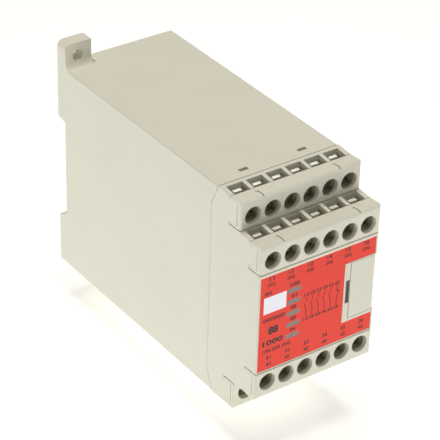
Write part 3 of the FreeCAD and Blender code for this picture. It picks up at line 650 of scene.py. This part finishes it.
class RELAY_OT_terminals(bpy.types.Operator):
    """Finish the terminal plates and put slotted, threaded screws in place of the plain ones"""
    bl_idname = "relay.terminals"
    bl_label = "Terminals"

    def execute(self, context):
        dress(tin_plated_brass(), *[f"terminal_plates_{n}" for n in TIERS])
        nickel = nickel_plated_steel(context.scene.relay_finish)
        pattern = self.screw_pattern(context.scene.relay_sizes)
        for tier in TIERS:
            name = f"terminal_screws_{tier}"
            low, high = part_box(name)
            bm = bmesh.new()
            for index, x in enumerate(pole_places()):
                turn = Matrix.Rotation(math.radians(TURN_PER_POLE * index + TURN_PER_TIER * tier), 4, "Y")
                spot = Matrix.Translation((x, low.y, (low.z + high.z) / 2))
                self.add_screw(bm, pattern, spot, turn)
            screws = piece_from(bm, f"slotted_screws_{tier}", nickel, BODY)
            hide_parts(name)
        bpy.data.meshes.remove(pattern["head"])
        bpy.data.meshes.remove(pattern["washer"])
        return {"FINISHED"}

    def add_screw(self, bm, pattern, spot, turn):
        """One screw: its head and thread are turned, its square washer stays straight."""
        for part, move in (("head", spot @ turn), ("washer", spot)):
            mesh = pattern[part].copy()
            mesh.transform(move)
            bm.from_mesh(mesh)
            bpy.data.meshes.remove(mesh)

    def screw_pattern(self, sizes):
        """Meshes of a cross-slotted head with its threaded shank, and of a square washer."""
        radius = sizes.screw_head / 2
        root = SHANK_RADIUS * 0.82
        profile = [(0.0, 0.0), (radius * 0.80, 0.05 * MM), (radius * 0.95, 0.22 * MM), (radius, 0.5 * MM),
                   (radius, HEAD_TALL), (root, HEAD_TALL)]
        y = HEAD_TALL + WASHER_THICK
        while y < SHANK_END - THREAD_PITCH / 2:
            profile += [(root, y), (SHANK_RADIUS, y + THREAD_CREST), (root, y + THREAD_PITCH / 2)]
            y += THREAD_PITCH
        profile += [(SHANK_RADIUS * 0.7, SHANK_END), (0.0, SHANK_END)]
        head = self.turned(profile, HEAD_STEPS)
        slot = sizes.slot_width / 2
        cutters = [(radius * 1.2, slot), (slot, radius * 0.62)]
        head = self.slotted(head, cutters, SLOT_DEPTH)
        washer = bmesh.new()
        bmesh.ops.create_cube(washer, size=1.0)
        bmesh.ops.scale(washer, vec=(sizes.washer, WASHER_THICK, sizes.washer), verts=washer.verts)
        bmesh.ops.translate(washer, vec=(0, HEAD_TALL + WASHER_THICK / 2, 0), verts=washer.verts)
        bmesh.ops.bevel(washer, geom=washer.edges, offset=0.15 * MM, segments=2, affect="EDGES")
        mesh = bpy.data.meshes.new("washer")
        washer.to_mesh(mesh)
        washer.free()
        return {"head": head, "washer": mesh}

    def turned(self, profile, steps):
        """A closed mesh turned about Y from (radius, y) points."""
        bm = bmesh.new()
        rings = []
        for radius, y in profile:
            if radius == 0.0:
                rings.append([bm.verts.new((0, y, 0))])
                continue
            angles = [math.tau * i / steps for i in range(steps)]
            rings.append([bm.verts.new((radius * math.cos(a), y, radius * math.sin(a))) for a in angles])
        for near, far in zip(rings, rings[1:]):
            for i in range(steps):
                j = (i + 1) % steps
                corners = [near[i % len(near)], near[j % len(near)], far[j % len(far)], far[i % len(far)]]
                bm.faces.new(list(dict.fromkeys(corners)))
        bmesh.ops.recalc_face_normals(bm, faces=bm.faces)
        mesh = bpy.data.meshes.new("turned")
        bm.to_mesh(mesh)
        bm.free()
        return mesh

    def slotted(self, mesh, cutters, depth):
        """The mesh with straight slots sunk into its front."""
        whole = bpy.data.objects.new("whole", mesh)
        bpy.context.scene.collection.objects.link(whole)
        bm = bmesh.new()
        for half_x, half_z in cutters:
            made = bmesh.ops.create_cube(bm, size=2.0)["verts"]
            bmesh.ops.scale(bm, vec=(half_x, depth, half_z), verts=made)
        tool_mesh = bpy.data.meshes.new("tool")
        bm.to_mesh(tool_mesh)
        bm.free()
        tool = bpy.data.objects.new("tool", tool_mesh)
        bpy.context.scene.collection.objects.link(tool)
        cut = whole.modifiers.new("cut", "BOOLEAN")
        cut.object = tool
        cut.operation = "DIFFERENCE"
        cut.solver = "EXACT"
        cut.use_self = True
        graph = bpy.context.evaluated_depsgraph_get()
        result = bpy.data.meshes.new_from_object(whole.evaluated_get(graph))
        for spare in (whole, tool):
            bpy.data.objects.remove(spare)
        bpy.data.meshes.remove(tool_mesh)
        bpy.data.meshes.remove(mesh)
        return result


class RELAY_OT_painted_slot_shade(bpy.types.Operator):
    """Set a black bar into the service door's pry slot, as painted shade for the shade deep in the slot"""
    bl_idname = "relay.door_catch"
    bl_label = "Painted slot shade"

    def execute(self, context):
        low = Vector((SLOT_SHADE_LEFT, CAD_BOUNDS[0].y + SLOT_SHADE_SINK, -SLOT_SHADE_HALF))
        high = Vector((SLOT_SHADE_RIGHT, CAD_BOUNDS[0].y + SLOT_SHADE_BACK, SLOT_SHADE_HALF))
        bm = bmesh.new()
        bmesh.ops.create_cube(bm, size=1.0)
        bmesh.ops.scale(bm, vec=high - low, verts=bm.verts)
        bmesh.ops.translate(bm, vec=(low + high) / 2, verts=bm.verts)
        bmesh.ops.bevel(bm, geom=bm.edges, offset=0.12 * MM, segments=2, affect="EDGES")
        # The black bar is painted shade: it stands for the shade deep in the pry slot, not for a real catch.
        piece_from(bm, "door_catch", moulded_connector(), BODY)
        return {"FINISHED"}


class RELAY_OT_label(bpy.types.Operator):
    """Finish the label film and print its figures, contact diagram and writing field"""
    bl_idname = "relay.label"
    bl_label = "Label"

    def execute(self, context):
        finish = context.scene.relay_finish
        sizes = context.scene.relay_sizes
        dress(printed_film(finish), "label_film")
        dress(smoked_acrylic(finish), "status_windows")
        dark = printed_ink("screen_printed_dark_ink", "#331A1B", "#43201F")
        bm = bmesh.new()
        self.terminal_figures(bm, sizes)
        self.window_figures(bm, sizes)
        for words, x, z, height, width, weight in CORNER_FIGURES:
            ink_text(bm, words, x, z, height, width, weight)
        piece_from(bm, "label_figures", dark, BODY)
        bm = bmesh.new()
        self.contact_diagram(bm, sizes)
        piece_from(bm, "contact_diagram", dark, BODY)
        bm = bmesh.new()
        ink_bar(bm, (FIELD_LEFT, FIELD_Z), (FIELD_RIGHT, FIELD_Z), FIELD_TALL)
        white = printed_ink("screen_printed_white_ink", "#F5F6FD", "#EFF0F8")
        piece_from(bm, "writing_field", white, BODY)
        return {"FINISHED"}

    def terminal_figures(self, bm, sizes):
        """Two lines of plain figures beside each terminal."""
        for index, x in enumerate(pole_places()):
            for z, width, weight, pattern, first in TERMINAL_ROWS:
                ink_text(bm, pattern.format(index + first), x, z, sizes.figure_height, width, weight)

    def window_figures(self, bm, sizes):
        """Plain figures above each status window."""
        x = (WINDOW_LOW.x + WINDOW_HIGH.x) / 2
        pitch = (WINDOW_HIGH.z - WINDOW_LOW.z - WINDOW_TALL) / (len(WINDOW_FIGURES) - 1)
        for index, (words, width) in enumerate(WINDOW_FIGURES):
            z = WINDOW_HIGH.z - WINDOW_TALL / 2 - index * pitch + WINDOW_FIGURE_RISE
            ink_text(bm, words, x, z, sizes.figure_height, width, 0.03)

    def contact_diagram(self, bm, sizes):
        """Five closing contacts and one opening contact, with plain figures at their ends."""
        width = sizes.line_width
        for index in range(CONTACTS):
            x = CONTACT_LEFT + CONTACT_PITCH * index
            opening = index == CONTACTS - 1
            ink_bar(bm, (x, UPPER_WIRE_TOP), (x, SEAT_Z if opening else UPPER_WIRE_END), width)
            ink_bar(bm, (x, LOWER_WIRE_END), (x, LOWER_WIRE_TOP), width)
            tip = x + (BLADE_LEAN if opening else -BLADE_LEAN)
            ink_bar(bm, (x, BLADE_FOOT), (tip, BLADE_TIP), width)
            if opening:
                ink_bar(bm, (x - width / 2, SEAT_Z), (x + SEAT_REACH, SEAT_END_Z), width)
            for second, z in CONTACT_FIGURES:
                ink_text(bm, f"{index + 1}{second}", x, z, CONTACT_FIGURE_TALL, CONTACT_FIGURE_WIDE, 0.02)


class RELAY_OT_inside(bpy.types.Operator):
    """Finish the boards and the parts that they carry"""
    bl_idname = "relay.inside"
    bl_label = "Inside"

    def execute(self, context):
        dress(solder_mask(), "terminal_board", "front_board", "main_board")
        dress(moulded_relay_cover(), "relay_upper", "relay_lower")
        dress(laminated_core(), "transformer_core")
        dress(wound_tape(), "transformer_winding")
        dress(sleeved_can(), "smoothing_capacitors")
        dress(moulded_connector(), "board_link", "service_socket")
        dress(epoxy_lens(), "status_leds")
        return {"FINISHED"}


# ---- Panel and registration ----------------------------------------------

OPERATORS = (RELAY_OT_stage, RELAY_OT_mouldings, RELAY_OT_terminals, RELAY_OT_painted_slot_shade, RELAY_OT_label,
             RELAY_OT_inside)


class RELAY_PT_panel(bpy.types.Panel):
    """Sidebar panel with every step of the dressing"""
    bl_idname = "RELAY_PT_panel"
    bl_label = "Safety relay"
    bl_space_type = "VIEW_3D"
    bl_region_type = "UI"
    bl_category = "Relay"

    def draw(self, context):
        for operator in OPERATORS:
            self.layout.operator(operator.bl_idname)
        for group in (context.scene.relay_finish, context.scene.relay_sizes, context.scene.relay_studio):
            box = self.layout.box()
            for name in group.__annotations__:
                box.prop(group, name)


CLASSES = (RelayFinish, RelaySizes, RelayStudio, RELAY_PT_panel) + OPERATORS


def register():
    for entry in CLASSES:
        bpy.utils.register_class(entry)
    bpy.types.Scene.relay_finish = bpy.props.PointerProperty(type=RelayFinish)
    bpy.types.Scene.relay_sizes = bpy.props.PointerProperty(type=RelaySizes)
    bpy.types.Scene.relay_studio = bpy.props.PointerProperty(type=RelayStudio)


def unregister():
    del bpy.types.Scene.relay_studio
    del bpy.types.Scene.relay_sizes
    del bpy.types.Scene.relay_finish
    for entry in reversed(CLASSES):
        bpy.utils.unregister_class(entry)


def main():
    register()
    bpy.ops.relay.stage()
    bpy.ops.relay.mouldings()
    bpy.ops.relay.terminals()
    bpy.ops.relay.door_catch()
    bpy.ops.relay.label()
    bpy.ops.relay.inside()


if __name__ == "__main__":
    main()
